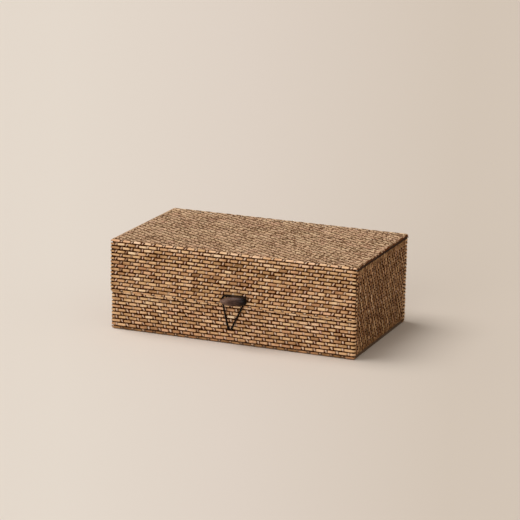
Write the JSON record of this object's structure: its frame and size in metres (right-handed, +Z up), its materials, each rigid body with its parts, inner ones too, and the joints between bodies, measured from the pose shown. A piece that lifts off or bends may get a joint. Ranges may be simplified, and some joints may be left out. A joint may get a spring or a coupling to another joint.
{
  "type": "organizer box",
  "caption": "Rectangular organizer box of board under a woven straw mat, with a hinged lid, a folding front flap and a wooden toggle held by an elastic loop.",
  "frame": {"origin": "middle of the rectangle that the lid and flap cover, on the underside of the base", "axes": "+X to the right along the front, +Y from the flap to the back wall, +Z up"},
  "size_m": [0.28, 0.1828, 0.1],
  "materials": {
    "woven_mat": "woven straw strips, tan to orange brown, satin strips with dark gaps",
    "greyboard": "plain pressed board",
    "lining_cloth": "plain woven cotton, beige",
    "brown_cloth": "plain woven cloth, dark brown",
    "dark_wood": "turned and stained, worn satin",
    "black_cord": "braided black elastic"
  },
  "bodies": {
    "box": {"base_board": "greyboard", "base_cover": "brown_cloth", "front_panel": "greyboard", "back_panel": "greyboard", "left_panel": "greyboard", "right_panel": "greyboard", "body_mat": "woven_mat", "rim_binding": "brown_cloth", "floor_lining": "lining_cloth", "front_lining": "lining_cloth", "back_lining": "lining_cloth", "left_lining": "lining_cloth", "right_lining": "lining_cloth", "loop_tails": "black_cord", "back_fold": "woven_mat"},
    "lid": {"lid_board": "greyboard", "lid_mat": "woven_mat", "lid_lining": "lining_cloth", "left_lid_binding": "brown_cloth", "right_lid_binding": "brown_cloth", "front_fold": "woven_mat"},
    "flap": {"flap_board": "greyboard", "flap_mat": "woven_mat", "flap_lining": "lining_cloth"},
    "toggle": {"toggle": "dark_wood", "toggle_tie": "black_cord"},
    "loop": {"elastic_loop": "black_cord"}
  },
  "joints": [
    {"name": "lid_hinge", "type": "hinge", "parent": "box", "child": "lid", "pos_m": [0, 0.08373, 0.09823], "axis": [-1, 0, 0], "range_deg": [0, 180], "deforming": ["back_fold"]},
    {"name": "flap_fold", "type": "hinge", "parent": "lid", "child": "flap", "pos_m": [0, -0.08373, 0.09823], "axis": [-1, 0, 0], "range_deg": [0, 90], "deforming": ["front_fold"]},
    {"name": "toggle_swivel", "type": "hinge", "parent": "flap", "child": "toggle", "pos_m": [0.0062, -0.0855, 0.05], "axis": [0, -1, 0], "range_deg": [-90, 90]},
    {"name": "loop_unhook", "type": "hinge", "parent": "box", "child": "loop", "pos_m": [-0.0006, -0.082, 0.0164], "axis": [1, 0, 0], "range_deg": [0, 100], "deforming": ["elastic_loop"]}
  ]
}
